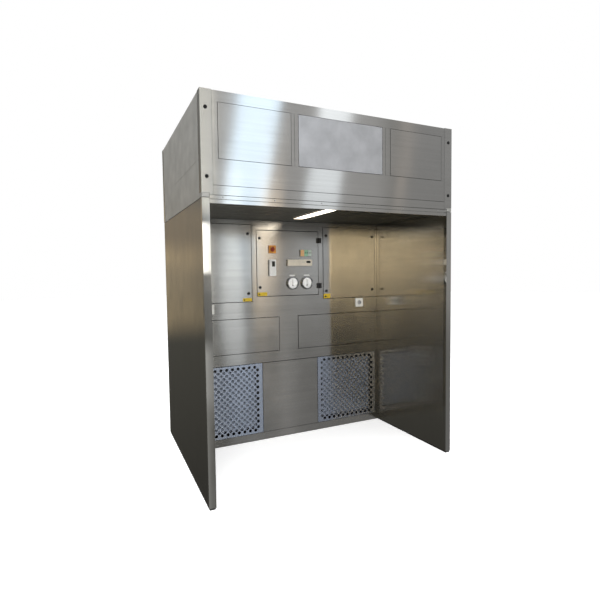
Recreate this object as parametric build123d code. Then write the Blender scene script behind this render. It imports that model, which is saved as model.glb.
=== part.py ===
from build123d import *
from math import cos, radians, sin
import os

os.makedirs("parts", exist_ok=True)

# Downflow containment booth. Millimetres, +Z up, the open front faces -Y.
# The origin is on the floor, in the middle of the footprint.

# Overall
WIDTH = 2100.0
DEPTH = 1600.0
HEIGHT = 2740.0
SHEET = 2.0
GAP = 3.0
PANEL_GAP = 5.0
DOOR_GAP = 6.0
END_GAP = 0.4
HX = WIDTH / 2
HY = DEPTH / 2
FACE_Y = -HY + 2.0

# Side walls
WALL = 50.0
WALL_TOP = 2055.0
SEAL_H = 12.0
INNER_X = HX - WALL

# Header
POST_FOOT = 2075.0
BACK_JOINT = (2055.0, 2067.0)
HEAD_BASE = 2059.0
POST_W = 76.0
POST_D = 66.0
CAP_H = 28.0
HEAD_PANELS = [(-934.0, -420.0), (-361.0, 347.0), (425.0, 936.0)]
MODULE_JOINTS = (-393.0, 377.0)
HEAD_PANEL_Z = (2309.0, 2664.0)
RAIL_SEAM = 2137.0
SIDE_PLATE_Y1 = 172.0
SIDE_PLATE_Z = (2307.0, 2655.0)
PLUG_X = 1014.0
PLUG_Z = (2190.0, 2624.0)
LIP_BOTTOM = 2022.0
LIP_GROOVE = (2046.0, 2050.0)
LIP_TOP = 2073.0
LIP_SCREW_Z = 2062.0
LIP_SCREW_X = [-910.0, -546.0, -182.0, 182.0, 546.0, 910.0]

# Ceiling
CEIL_Z = 2046.0
LIGHT_X = (-54.0, 34.0)
LIGHT_Y = (-696.0, -20.0)

# Rear cabinet
CAB_Y = 200.0
PANEL_Y = CAB_Y - 2.0
TRAY_D = 25.0
PLINTH_H = 70.0
FRAME_TOP = 2044.0
SIDE_PANEL_X = {"left": (-972.0, -380.0), "right": (366.0, 972.0)}
SIDE_PANEL_Z = (1306.0, 2002.0)
DOOR_X = (-325.0, 306.0)
DOOR_Z = (1350.0, 1955.0)
SOCKET_RAIL_Z = (1211.2, 1300.2)
MID_Z = (834.0, 1148.0)
MID_X = {"left": (-970.0, -115.0), "right": (87.0, 970.0)}
GRILLE_X = (291.0, 970.0)
GRILLE_Z = (74.0, 726.0)
LOW_PANEL_X = 286.0
PARTITION_X = 312.0

# Return grille perforation, staggered
HOLE_R = 14.5
PITCH_X = 53.1
PITCH_Z = 53.6
HOLES_X = 12
HOLES_Z = 12
HOLE_X0 = 339.5
HOLE_Z0 = 105.2

# Controls on the door
LOCK_X = -298.0
LOCK_Z = (1431.0, 1885.0)
HINGE_X = 316.0
HINGE_Y = 190.0
HINGE_Z = (1434.0, 1873.0)
ISOLATOR = (-175.0, 1783.0)
CONTROLLER = (-178.0, 1612.0)
SWITCH_X = (132.0, 172.0, 212.0)
SWITCH_Z = 1750.0
MONITOR = (103.0, 1658.0)
GAUGE_X = (29.0, 180.0)
GAUGE_Z = 1465.0
GAUGE_R = 59.5
SOCKET_X = 778.0
SOCKET_Z = 1250.0

# Fans
FAN_X = 670.0
FAN_Y = 500.0
DECK_Z = 1290.0
IMPELLER_R = 190.0
BLADES = 8


def block(x0, x1, y0, y1, z0, z1):
    """Box between two corners."""
    size = Box(abs(x1 - x0), abs(y1 - y0), abs(z1 - z0))
    return Pos((x0 + x1) / 2, (y0 + y1) / 2, (z0 + z1) / 2) * size


def tray(x0, x1, y0, y1, z0, z1, side, t=SHEET):
    """Folded sheet tray, open towards one side such as '+y'."""
    low = [x0 + t, y0 + t, z0 + t]
    high = [x1 - t, y1 - t, z1 - t]
    axis = "xyz".index(side[1])
    if side[0] == "+":
        high[axis] += 2 * t
    else:
        low[axis] -= 2 * t
    inner = block(low[0], high[0], low[1], high[1], low[2], high[2])
    return block(x0, x1, y0, y1, z0, z1) - inner


def rod(x, y, z, r, length, axis="z"):
    """Round bar centred at a point along one axis."""
    bar = Cylinder(r, length)
    if axis == "y":
        bar = Rot(90, 0, 0) * bar
    if axis == "x":
        bar = Rot(0, 90, 0) * bar
    return Pos(x, y, z) * bar


def rounded(x, z, w, h, r, y0, y1):
    """Plate with rounded corners, facing -Y."""
    outline = RectangleRounded(w, h, r)
    plate = extrude(outline, y1 - y0)
    return Pos(x, y1, z) * (Rot(90, 0, 0) * plate)


def pleats(x0, x1, y0, y1, z0, z1, pitch, rise):
    """Folded filter medium: a zigzag sheet with its folds along Y."""
    count = int((x1 - x0) / pitch)
    low = []
    high = []
    for i in range(2 * count + 1):
        x = x0 + i * pitch / 2
        z = z0 if i % 2 == 0 else z1 - rise
        low.append((x, z))
        high.append((x, z + rise))
    outline = Polyline(*low, *reversed(high), close=True)
    sheet = extrude(make_face(outline), y1 - y0)
    return Pos(0, y1, 0) * (Rot(90, 0, 0) * sheet)


def both(shape):
    """A shape and its mirror image on the other side of the booth."""
    return [shape, mirror(shape, Plane.YZ)]


def save(name, shapes):
    """Write one node; several solids may share it."""
    solids = []
    for shape in shapes if isinstance(shapes, list) else [shapes]:
        solids.extend(shape.solids())
    whole = solids[0] if len(solids) == 1 else Compound(children=solids)
    whole.label = name
    export_step(whole, f"parts/{name}.step")


def side_walls():
    """Double-skin side walls, edge trims and floor and header seals."""
    y0 = -HY + 4
    y1 = HY - 1
    z0 = SEAL_H
    outer = tray(-HX + 2, -HX + 24.8, y0, y1, z0, WALL_TOP, "+x", 1.5)
    inner = tray(-HX + 25.2, -HX + WALL - 2, y0, y1, z0, WALL_TOP, "-x", 1.5)
    save("left_wall", [outer, inner])
    save("right_wall", [mirror(outer, Plane.YZ), mirror(inner, Plane.YZ)])
    trim = block(-HX, -INNER_X, -HY + 2, -HY + 36, z0, WALL_TOP)
    trim -= block(-HX + 1.7, -INNER_X - 1.7, -HY + 3.7, -HY + 40, z0 - 1, WALL_TOP + 1)
    save("wall_edge_trims", both(trim))
    seal = block(-HX + 5, -INNER_X - 5, -HY + 6, HY - 2, 0, SEAL_H)
    joint = block(-HX + 7, -INNER_X - 7, -HY + 8, HY - 8, WALL_TOP, HEAD_BASE)
    save("wall_seals", both(seal) + both(joint))


def header_posts():
    """Four folded corner posts, with front corner caps and round plugs."""
    cap_x = -INNER_X + 1
    cap_z = HEAD_BASE + CAP_H
    front = tray(-HX, -HX + POST_W, FACE_Y, FACE_Y + POST_D, POST_FOOT, HEIGHT, "+y")
    front -= block(-HX - 1, cap_x, FACE_Y - 1, FACE_Y + POST_D + 1, POST_FOOT - 1, cap_z + 1)
    for z in PLUG_Z:
        front -= rod(-PLUG_X, FACE_Y, z, 9.2, 12, "y")
    rear = tray(-HX, -HX + POST_W, HY - POST_D, HY, HEAD_BASE, HEIGHT, "-y")
    save("header_posts", both(front) + both(rear))
    cap = tray(-HX, cap_x - 1, FACE_Y, FACE_Y + POST_D, HEAD_BASE, cap_z, "+y")
    save("corner_caps", both(fillet(cap.edges().filter_by(Axis.Z).group_by(Axis.Y)[0], 1.2)))
    plugs = []
    for z in PLUG_Z:
        head = rod(-PLUG_X, FACE_Y - 1.1, z, 12.5, 1.8, "y")
        head += rod(-PLUG_X, FACE_Y + 4, z, 9.0, 10, "y")
        plugs += both(head)
    save("post_plugs", plugs)


def header_front():
    """Front fascia rails and stiles, and its three access panels."""
    back = FACE_Y + 20
    x = HX - POST_W - 1.5
    z0, z1 = HEAD_PANEL_Z
    rails = [
        tray(-x, x, FACE_Y, back, z1 + GAP, HEIGHT - 3, "+y"),
        tray(-x, x, FACE_Y, back, RAIL_SEAM + 2, z0 - GAP, "+y"),
        tray(-x, x, FACE_Y, back, LIP_TOP + 3, RAIL_SEAM - 1, "+y"),
    ]
    edges = [-x, x]
    for left, right in HEAD_PANELS:
        edges += [left - GAP, right + GAP]
    for joint in MODULE_JOINTS:
        edges += [joint - 1, joint + 1]
    edges.sort()
    for i in range(0, len(edges), 2):
        rails.append(tray(edges[i], edges[i + 1], FACE_Y, back, z0 - GAP + END_GAP, z1 + GAP - END_GAP, "+y"))
    save("front_fascia", rails)
    panels = []
    for left, right in HEAD_PANELS:
        panels.append(tray(left, right, FACE_Y - 1, FACE_Y + 21, z0, z1, "+y"))
    save("header_panels", panels)


def header_shell():
    """Side skins with raised access plates, roof and rear skins."""
    y0 = FACE_Y + POST_D + 1
    y1 = HY - POST_D - 1
    skin = tray(-HX + 1, -HX + 18, y0, y1, HEAD_BASE, HEIGHT - 3, "+x")
    plate = block(-HX, -HX + 0.9, y0 + 2, SIDE_PLATE_Y1, SIDE_PLATE_Z[0], SIDE_PLATE_Z[1])
    save("header_side_skins", both(skin) + both(plate))
    x = HX - POST_W - 2
    top = tray(-x, x, -HY + 24, HY - 4, HEIGHT - 24, HEIGHT - 1, "-z")
    wing = tray(-HX + 19, -x - 1, y0 + 1, y1 - 1, HEIGHT - 24, HEIGHT - 1, "-z")
    save("roof_panel", [top] + both(wing))
    x = INNER_X - 3
    lower = tray(-x, x, HY - 20, HY - 1, PLINTH_H + 2, BACK_JOINT[0], "-y")
    x = HX - POST_W - 1.5
    upper = tray(-x, x, HY - 20, HY - 1, BACK_JOINT[1], HEIGHT - 26, "-y")
    save("back_panels", [lower, upper])


def canopy_lip():
    """Folded lip below the fascia, between the walls, and its screws."""
    x = INNER_X - 2
    front = FACE_Y + 2
    web = front + 14
    low, high = LIP_GROOVE
    lip = block(-x, x, front, front + 58, high, LIP_TOP)
    lip -= block(-x - 1, x + 1, front + SHEET, front + 56, high + SHEET, LIP_TOP + 5)
    lip += block(-x, x, web, web + SHEET, low - SHEET, high + SHEET)
    lip += block(-x, x, front, web + SHEET, low - SHEET, low)
    lip += block(-x, x, front, front + SHEET, LIP_BOTTOM, low)
    lip += block(-x, x, front, front + 21, LIP_BOTTOM, LIP_BOTTOM + SHEET)
    screws = []
    for sx in LIP_SCREW_X:
        lip -= rod(sx, front + 1, LIP_SCREW_Z, 2.6, 8, "y")
        head = rod(sx, front - 0.9, LIP_SCREW_Z, 5.0, 1.8, "y")
        head = fillet(head.edges().group_by(Axis.Y)[0], 1.0)
        head += rod(sx, front + 4, LIP_SCREW_Z, 2.5, 10, "y")
        head -= rod(sx, front - 1.6, LIP_SCREW_Z, 1.6, 1.6, "y")
        screws.append(head)
    save("canopy_lip", lip)
    save("lip_screws", screws)


def ceiling():
    """Ceiling frame, slotted diffuser screens, light and absolute filters."""
    x = INNER_X - 4
    y0 = FACE_Y + POST_D + 4
    y1 = CAB_Y - 4
    z0 = CEIL_Z
    z1 = CEIL_Z + 22
    lx0 = LIGHT_X[0] - 4
    lx1 = LIGHT_X[1] + 4
    bars = [
        tray(-x, -x + 40, y0, y1, z0, z1, "+z"),
        tray(x - 40, x, y0, y1, z0, z1, "+z"),
        tray(-x + 41, x - 41, y0, y0 + 30, z0, z1, "+z"),
        tray(-x + 41, x - 41, y1 - 34, y1, z0, z1, "+z"),
        tray(lx0, lx1, LIGHT_Y[1] + 4, y1 - 35, z0, z1, "+z"),
    ]
    save("ceiling_frame", bars)
    screens = []
    for a, b in ((-x + 42, lx0 - 2), (lx1 + 2, x - 42)):
        screens.append(slotted_screen(a, b, y0 + 32, y1 - 36, z0 + 2))
    save("diffuser_screens", screens)
    light(z0)
    frames = []
    media = []
    for a, b in ((-x + 44, lx0 - 4), (lx1 + 4, x - 44)):
        frames += frame_bars(a, b, y0 + 34, y1 - 38, z0 + 24, z0 + 144, 24)
        media.append(pleats(a + 25, b - 25, y0 + 59, y1 - 63, z0 + 34, z0 + 134, 24, 16))
    save("absolute_filter_frames", frames)
    save("absolute_filter_media", media)


def slotted_screen(x0, x1, y0, y1, z):
    """Thin plate with rows of air slots."""
    cx = (x0 + x1) / 2
    cy = (y0 + y1) / 2
    columns = int((x1 - x0 - 40) / 24)
    with BuildSketch() as face:
        Rectangle(x1 - x0, y1 - y0)
        with GridLocations(24, 170, columns, 5):
            SlotOverall(150, 8, rotation=90, mode=Mode.SUBTRACT)
    return Pos(cx, cy, z) * extrude(face.sketch, 1.5)


def frame_bars(x0, x1, y0, y1, z0, z1, w):
    """Four bars round a rectangle lying flat."""
    return [
        block(x0, x1, y0, y0 + w, z0, z1),
        block(x0, x1, y1 - w, y1, z0, z1),
        block(x0, x0 + w, y0 + w, y1 - w, z0, z1),
        block(x1 - w, x1, y0 + w, y1 - w, z0, z1),
    ]


def light(z0):
    """Recessed luminaire: housing, lamp tubes and opal diffuser."""
    x0, x1 = LIGHT_X
    y0, y1 = LIGHT_Y
    housing = tray(x0, x1, y0, y1, z0, z0 + 70, "-z")
    save("light_housing", housing)
    cover = block(x0 + 3, x1 - 3, y0 + 3, y1 - 3, z0 - 3, z0 + 5)
    cover = fillet(cover.edges().group_by(Axis.Z)[0], 2.5)
    cover -= block(x0 + 5, x1 - 5, y0 + 5, y1 - 5, z0 - 1, z0 + 9)
    save("light_diffuser", cover)


def face_bar(x0, x1, z0, z1):
    """Folded bar of the cabinet's face frame."""
    return tray(x0, x1, CAB_Y, CAB_Y + 22, z0, z1, "+y")


def face_frame():
    """Rails and stiles that carry the doors, panels and grilles."""
    x = INNER_X - 1
    low = SOCKET_RAIL_Z[1] + END_GAP
    high = SIDE_PANEL_Z[1] + DOOR_GAP - END_GAP
    mid0 = MID_Z[0] - PANEL_GAP + END_GAP
    mid1 = MID_Z[1] + PANEL_GAP - END_GAP
    bars = [face_bar(-x, x, SIDE_PANEL_Z[1] + DOOR_GAP, FRAME_TOP)]
    bars += both(face_bar(SIDE_PANEL_X["right"][1] + DOOR_GAP, x, low, high))
    bars += both(face_bar(MID_X["right"][1] + PANEL_GAP, x, mid0, mid1))
    bars += both(face_bar(GRILLE_X[1] + PANEL_GAP, x, PLINTH_H + 1, GRILLE_Z[1] + PANEL_GAP - END_GAP))
    left = (SIDE_PANEL_X["left"][1] + DOOR_GAP, DOOR_X[0] - DOOR_GAP)
    right = (DOOR_X[1] + DOOR_GAP, SIDE_PANEL_X["right"][0] - DOOR_GAP)
    for a, b in (left, right):
        bars.append(face_bar(a, b, low, high))
    a = left[1] + END_GAP
    b = right[0] - END_GAP
    bars.append(face_bar(a, b, DOOR_Z[1] + DOOR_GAP, high))
    bars.append(face_bar(a, b, low, DOOR_Z[0] - DOOR_GAP))
    rail = face_bar(-x, x, SOCKET_RAIL_Z[0], SOCKET_RAIL_Z[1])
    for s in (-1, 1):
        rail -= rod(s * SOCKET_X, CAB_Y, SOCKET_Z, 30, 12, "y")
    bars.append(rail)
    bars.append(face_bar(-x, x, MID_Z[1] + PANEL_GAP, SOCKET_RAIL_Z[0] - 1))
    bars.append(face_bar(MID_X["left"][1] + PANEL_GAP, MID_X["right"][0] - PANEL_GAP, mid0, mid1))
    bars.append(face_bar(-x, x, GRILLE_Z[1] + PANEL_GAP, MID_Z[0] - PANEL_GAP))
    save("face_frame", bars)


def cabinet_panels():
    """Fixed panels of the cabinet front, plinth and inner partitions."""
    y1 = PANEL_Y + 22
    panels = []
    for x0, x1 in MID_X.values():
        panels.append(tray(x0, x1, PANEL_Y, y1, MID_Z[0], MID_Z[1], "+y"))
    save("mid_panels", panels)
    low = tray(-LOW_PANEL_X, LOW_PANEL_X, PANEL_Y, y1, GRILLE_Z[0], GRILLE_Z[1], "+y")
    save("low_centre_panel", low)
    x = INNER_X - 1
    plinth = [
        tray(-x, x, CAB_Y, CAB_Y + 40, 0, PLINTH_H, "+y"),
        tray(-x, x, HY - 42, HY - 2, 0, PLINTH_H, "-y"),
        block(-x, -x + 3, CAB_Y + 41, HY - 43, 0, PLINTH_H),
        block(x - 3, x, CAB_Y + 41, HY - 43, 0, PLINTH_H),
        block(-x + 4, x - 4, CAB_Y + 42, HY - 44, PLINTH_H - 4, PLINTH_H - 2),
    ]
    save("base_plinth", plinth)
    wall = tray(-PARTITION_X - 20, -PARTITION_X, CAB_Y + 34, HY - 24, PLINTH_H + 4, 2038, "+x")
    save("cabinet_partitions", both(wall))
    inner = block(PARTITION_X + 21, INNER_X - 4, CAB_Y + 26, HY - 24, DECK_Z - 3, DECK_Z)
    inner -= rod(FAN_X, FAN_Y, DECK_Z, 128, 12)
    save("fan_decks", both(inner))


def grille_face():
    """Perforated sheet with two interleaved hole grids."""
    x0, x1 = GRILLE_X
    z0, z1 = GRILLE_Z
    cx = (x0 + x1) / 2
    cz = (z0 + z1) / 2
    spots = []
    for i in range(HOLES_X):
        for k in range(HOLES_Z):
            if k < HOLES_Z - 1:
                spots.append((HOLE_X0 + i * PITCH_X, HOLE_Z0 + (k + 0.5) * PITCH_Z))
            if i < HOLES_X - 1:
                spots.append((HOLE_X0 + (i + 0.5) * PITCH_X, HOLE_Z0 + k * PITCH_Z))
    with BuildSketch() as face:
        Rectangle(x1 - x0, z1 - z0)
        with Locations(*[(x - cx, z - cz) for x, z in spots]):
            Circle(HOLE_R, mode=Mode.SUBTRACT)
    sheet = extrude(face.sketch, SHEET)
    return Pos(cx, PANEL_Y + SHEET, cz) * (Rot(90, 0, 0) * sheet)


def grilles():
    """Perforated return grilles with folded edges, and their prefilters."""
    x0, x1 = GRILLE_X
    z0, z1 = GRILLE_Z
    rim = tray(x0, x1, PANEL_Y, PANEL_Y + 18, z0, z1, "+y")
    rim -= block(x0 + 10, x1 - 10, PANEL_Y - 1, PANEL_Y + 1 + SHEET, z0 + 10, z1 - 10)
    right = rim + grille_face()
    save("return_grille_right", right)
    save("return_grille_left", mirror(right, Plane.YZ))
    fx0, fx1 = 335.0, 928.0
    fz0, fz1 = 104.0, 696.0
    bars = []
    for a in (fx0, fx1 - 16):
        bars += both(block(a, a + 16, CAB_Y + 24, CAB_Y + 72, fz0 + 16, fz1 - 16))
    for c in (fz0, fz1 - 16):
        bars += both(block(fx0, fx1, CAB_Y + 24, CAB_Y + 72, c, c + 16))
    save("prefilter_frames", bars)
    pad = block(fx0 + 16.5, fx1 - 16.5, CAB_Y + 30, CAB_Y + 66, fz0 + 16.5, fz1 - 16.5)
    save("prefilter_media", both(pad))


def lock(x, z, reach):
    """Quarter-turn lock: round head, barrel and a cam behind the sheet."""
    head = rod(x, PANEL_Y - 3, z, 13, 6, "y")
    head = fillet(head.edges().group_by(Axis.Y)[0], 1.5)
    head -= block(x - 1.5, x + 1.5, PANEL_Y - 7, PANEL_Y - 4, z - 6, z + 6)
    body = rod(x, PANEL_Y + 16, z, 8.5, 32.2, "y")
    cam = block(x - 9, x + 9, PANEL_Y + 28, PANEL_Y + 31, z - reach, z + 9)
    return head + body + cam


def side_panels():
    """Lift-off fan access panels with four quarter-turn locks each."""
    z0, z1 = SIDE_PANEL_Z
    for side, (x0, x1) in SIDE_PANEL_X.items():
        panel = tray(x0, x1, PANEL_Y, PANEL_Y + TRAY_D, z0, z1, "+y")
        locks = []
        for x in (x0 + 31, x1 - 31):
            for z in (z0 + 74, z1 - 80):
                panel -= rod(x, PANEL_Y, z, 9.0, 12, "y")
                locks.append(lock(x, z, 38))
        save(f"fan_panel_{side}", panel)
        save(f"fan_panel_locks_{side}", locks)


def control_door():
    """Hinged control door, its locks and its two hinges."""
    x0, x1 = DOOR_X
    z0, z1 = DOOR_Z
    door = tray(x0, x1, PANEL_Y, PANEL_Y + TRAY_D, z0, z1, "+y")
    for x in GAUGE_X:
        door -= rod(x, PANEL_Y, GAUGE_Z, 54.0, 12, "y")
    for z in LOCK_Z:
        door -= rod(LOCK_X, PANEL_Y, z, 8.55, 12, "y")
    save("control_door", door)
    save("door_lock_lower", lock(LOCK_X, LOCK_Z[0], 40))
    save("door_lock_upper", lock(LOCK_X, LOCK_Z[1], 40))
    hinges()


def hinges():
    """Fixed leaves with pins, and door leaves with outer knuckles."""
    fixed = []
    moving = []
    for z in HINGE_Z:
        leaf = block(HINGE_X + 1.5, HINGE_X + 25, HINGE_Y, PANEL_Y + 1.8, z - 25, z + 25)
        leaf -= block(HINGE_X, HINGE_X + 7.5, HINGE_Y - 1, CAB_Y, z + 8, z + 26)
        leaf -= block(HINGE_X, HINGE_X + 7.5, HINGE_Y - 1, CAB_Y, z - 26, z - 8)
        knuckle = rod(HINGE_X, HINGE_Y, z, 7, 15.4) + block(
            HINGE_X, HINGE_X + 8, HINGE_Y, PANEL_Y, z - 7.7, z + 7.7)
        pin = rod(HINGE_X, HINGE_Y, z, 3, 50)
        fixed.append(leaf + knuckle + pin)
        plate = block(HINGE_X - 25, HINGE_X - 8, HINGE_Y, PANEL_Y - 0.05, z - 25, z + 25)
        for c in (z - 16.6, z + 16.6):
            plate += rod(HINGE_X, HINGE_Y, c, 7, 16.6)
            plate += block(HINGE_X - 9, HINGE_X, HINGE_Y, PANEL_Y - 1, c - 8.3, c + 8.3)
            plate -= rod(HINGE_X, HINGE_Y, c, 3.05, 18)
        moving.append(plate)
    save("hinge_fixed_leaves", fixed)
    save("hinge_door_leaves", moving)


def door_controls():
    """Isolator, controller, push buttons and monitor on the door."""
    x, z = ISOLATOR
    plate = rounded(x, z, 70, 73, 6, PANEL_Y - 10, PANEL_Y)
    plate -= rod(x, PANEL_Y - 10, z, 5.05, 16, "y")
    save("isolator_plate", plate)
    knob = rod(x, PANEL_Y - 16.2, z, 19, 12, "y")
    knob += rounded(x, z, 12, 44, 5, PANEL_Y - 30, PANEL_Y - 12)
    knob += rod(x, PANEL_Y - 8, z, 5.0, 12, "y")
    save("isolator_knob", knob)
    x, z = CONTROLLER
    case = rounded(x, z, 68, 153, 6, PANEL_Y - 22, PANEL_Y)
    case = fillet(case.faces().sort_by(Axis.Y)[0].edges(), 2.0)
    case -= rounded(x + 7, z + 36, 30.4, 50.4, 4, PANEL_Y - 24, PANEL_Y - 19.5)
    save("controller_case", case)
    windows = [rounded(x + 7, z + 36, 30, 50, 3.8, PANEL_Y - 21.5, PANEL_Y - 19.5)]
    switches()
    x, z = MONITOR
    case = rounded(x, z, 257, 61, 5, PANEL_Y - 24, PANEL_Y)
    case = fillet(case.faces().sort_by(Axis.Y)[0].edges(), 2.0)
    case -= rounded(x + 88, z + 7, 46.4, 20.4, 10, PANEL_Y - 26, PANEL_Y - 21)
    save("monitor_case", case)
    windows.append(rounded(x + 88, z + 7, 46, 20, 9.8, PANEL_Y - 23, PANEL_Y - 21))
    save("display_windows", windows)


def switches():
    """Three push buttons in one surround."""
    names = ("button_amber", "button_green", "button_white")
    plate = rounded(SWITCH_X[1], SWITCH_Z, 124, 66, 3, PANEL_Y - 12, PANEL_Y)
    for name, x in zip(names, SWITCH_X):
        plate -= rounded(x, SWITCH_Z, 38.0, 60.0, 2, PANEL_Y - 14, PANEL_Y - 1)
        cap = rounded(x, SWITCH_Z, 37.4, 59.4, 2, PANEL_Y - 15, PANEL_Y - 5)
        cap = fillet(cap.faces().sort_by(Axis.Y)[0].edges(), 1.5)
        if name != "button_amber":
            for dx in (-9, 9):
                cap += rod(x + dx, PANEL_Y - 16, SWITCH_Z + 2, 5.5, 3, "y")
        save(name, cap)
    save("button_surround", plate)


def gauges():
    """Two dial gauges: case with bezel, dial and needle."""
    cases = []
    dials = []
    sides = ("left", "right")
    for side, x in zip(sides, GAUGE_X):
        bezel = rod(x, PANEL_Y - 11, GAUGE_Z, GAUGE_R, 22, "y")
        bezel = fillet(bezel.edges().group_by(Axis.Y)[0], 4.0)
        bezel -= rod(x, PANEL_Y - 12, GAUGE_Z, 51, 30, "y")
        body = rod(x, PANEL_Y + 15, GAUGE_Z, 53.5, 38, "y")
        body -= rod(x, PANEL_Y + 2, GAUGE_Z, 50, 34, "y")
        cases.append(bezel + body)
        dial = rod(x, PANEL_Y - 5, GAUGE_Z, 50.4, 2, "y")
        dials.append(dial + rod(x, PANEL_Y - 8, GAUGE_Z - 22, 1.5, 4.4, "y"))
        hub = rod(x, PANEL_Y - 9, GAUGE_Z - 22, 6, 1.6, "y")
        hub -= rod(x, PANEL_Y - 9, GAUGE_Z - 22, 1.55, 6, "y")
        pointer = block(x - 1.4, x + 1.4, PANEL_Y - 9.6, PANEL_Y - 8.6, GAUGE_Z - 17, GAUGE_Z + 34)
        save(f"gauge_needle_{side}", hub + pointer)
    save("gauge_cases", cases)
    save("gauge_dials", dials)


def sockets():
    """Two outlet plates with round inserts."""
    plates = []
    inserts = []
    for s in (-1, 1):
        x = s * SOCKET_X
        plate = rounded(x, SOCKET_Z, 88, 86, 5, CAB_Y - 10, CAB_Y)
        plate = fillet(plate.faces().sort_by(Axis.Y)[0].edges(), 2.0)
        plate -= rod(x, CAB_Y, SOCKET_Z, 22.5, 40, "y")
        plates.append(plate)
        insert = rod(x, CAB_Y + 8, SOCKET_Z, 22, 32, "y")
        insert -= rod(x, CAB_Y - 6, SOCKET_Z, 19.5, 24, "y")
        for dx in (-9.5, 9.5):
            insert -= rod(x + dx, CAB_Y + 8, SOCKET_Z, 2.5, 20, "y")
        inserts.append(insert)
    save("socket_plates", plates)
    save("socket_inserts", inserts)


def impeller():
    """Backward-inclined fan wheel with a bored hub."""
    z = DECK_Z + 40
    wheel = Pos(FAN_X, FAN_Y, z + 122) * Cylinder(IMPELLER_R, 4)
    wheel += Pos(FAN_X, FAN_Y, z + 2) * (Cylinder(IMPELLER_R, 4) - Cylinder(132, 8))
    for i in range(BLADES):
        angle = i * 360 / BLADES
        blade = Pos(158, 0, z + 62) * (Rot(0, 0, 62) * Box(4, 62, 122))
        wheel += Pos(FAN_X, FAN_Y, 0) * (Rot(0, 0, angle) * blade)
    wheel += Pos(FAN_X, FAN_Y, z + 132) * Cylinder(34, 24)
    wheel -= Pos(FAN_X, FAN_Y, z + 132) * Cylinder(12.05, 60)
    return wheel


def fans():
    """Fan wheels, motors, inlet rings and motor stands."""
    wheel = impeller()
    save("fan_wheel_right", wheel)
    save("fan_wheel_left", mirror(wheel, Plane.YZ))
    z = DECK_Z
    ring = Pos(FAN_X, FAN_Y, z + 1.5) * Cylinder(150, 3)
    ring += Pos(FAN_X, FAN_Y, z + 23) * Cylinder(125, 46)
    ring -= Pos(FAN_X, FAN_Y, z + 20) * Cylinder(122, 80)
    stand = block(FAN_X - 215, FAN_X + 215, FAN_Y - 215, FAN_Y + 215, z + 306, z + 310)
    for dx in (-200, 200):
        for dy in (-200, 200):
            stand += rod(FAN_X + dx, FAN_Y + dy, z + 154, 8, 306)
    save("fan_mounts", both(ring) + both(stand))
    motor = Pos(FAN_X, FAN_Y, z + 251) * Cylinder(75, 110)
    for i in range(12):
        fin = Pos(78, 0, z + 251) * Box(12, 3, 90)
        motor += Pos(FAN_X, FAN_Y, 0) * (Rot(0, 0, i * 30) * fin)
    motor += Pos(FAN_X, FAN_Y, z + 178) * Cylinder(12, 40)
    save("fan_motors", both(motor))


def electrical():
    """Mounting plate behind the control door with its gear."""
    y = 640.0
    save("electrical_plate", tray(-290, 290, y, y + 18, 1372, 1932, "+y"))
    gear = []
    for i in range(2):
        x = -180 + i * 170
        drive = block(x - 60, x + 60, y - 140, y - 0.2, 1620, 1860)
        for k in range(5):
            drive -= block(x - 45 + k * 20, x - 35 + k * 20, y - 142, y - 132, 1640, 1700)
        gear.append(drive)
    for i in range(8):
        x = -230 + i * 40
        gear.append(block(x - 18, x + 18, y - 70, y - 0.2, 1450, 1535))
    gear.append(block(100, 240, y - 90, y - 0.2, 1450, 1560))
    save("electrical_gear", gear)


side_walls()
header_posts()
header_front()
header_shell()
canopy_lip()
ceiling()
face_frame()
cabinet_panels()
grilles()
side_panels()
control_door()
door_controls()
gauges()
sockets()
fans()
electrical()
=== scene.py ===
from math import cos, pi, radians, sin

import bmesh
import bpy
from mathutils import Matrix, Vector


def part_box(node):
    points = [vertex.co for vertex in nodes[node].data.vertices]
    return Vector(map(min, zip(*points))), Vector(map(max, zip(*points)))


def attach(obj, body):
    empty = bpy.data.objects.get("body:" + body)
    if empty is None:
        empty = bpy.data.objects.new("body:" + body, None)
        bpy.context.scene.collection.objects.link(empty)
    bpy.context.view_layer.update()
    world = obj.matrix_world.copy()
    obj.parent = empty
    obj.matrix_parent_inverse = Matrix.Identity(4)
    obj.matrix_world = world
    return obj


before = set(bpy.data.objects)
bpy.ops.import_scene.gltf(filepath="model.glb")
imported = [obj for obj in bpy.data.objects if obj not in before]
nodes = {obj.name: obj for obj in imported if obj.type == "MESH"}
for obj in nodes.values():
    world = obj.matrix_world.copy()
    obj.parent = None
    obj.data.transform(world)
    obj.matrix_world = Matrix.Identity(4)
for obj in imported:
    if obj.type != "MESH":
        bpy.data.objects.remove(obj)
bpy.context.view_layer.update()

MM = 0.001

# Camera: place in metres, turns in radians, lens in millimetres
CAMERA_AT = (-1.698, -3.599, 1.574)
CAMERA_YAW = 0.4397
CAMERA_PITCH = -0.0524
CAMERA_ROLL = -0.0129
CAMERA_LENS = 26.24
CAMERA_SHIFT = (0.0030, -0.0092)

# Colours of bare sheet, and of the dull film on two of the sheets, as a darker and a lighter tone
STEEL = (0.60, 0.595, 0.575)
GRILLE_STEEL = (0.52, 0.57, 0.68)
PANEL_FILM = ((0.47, 0.48, 0.50), (0.60, 0.61, 0.635))
SIDE_FILM = ((0.43, 0.43, 0.415), (0.54, 0.54, 0.52))

# The film on the middle header panel is drawn this far from X = 0. The panel ends before that, and
# its neighbours start after it.
FILM_HALF_WIDTH = 0.38

# Brushing: noise scales across the lines, and along them
FINE_LINES = 120.0
BROAD_BANDS = 46.0
ALONG_LINES = 1.3

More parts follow.
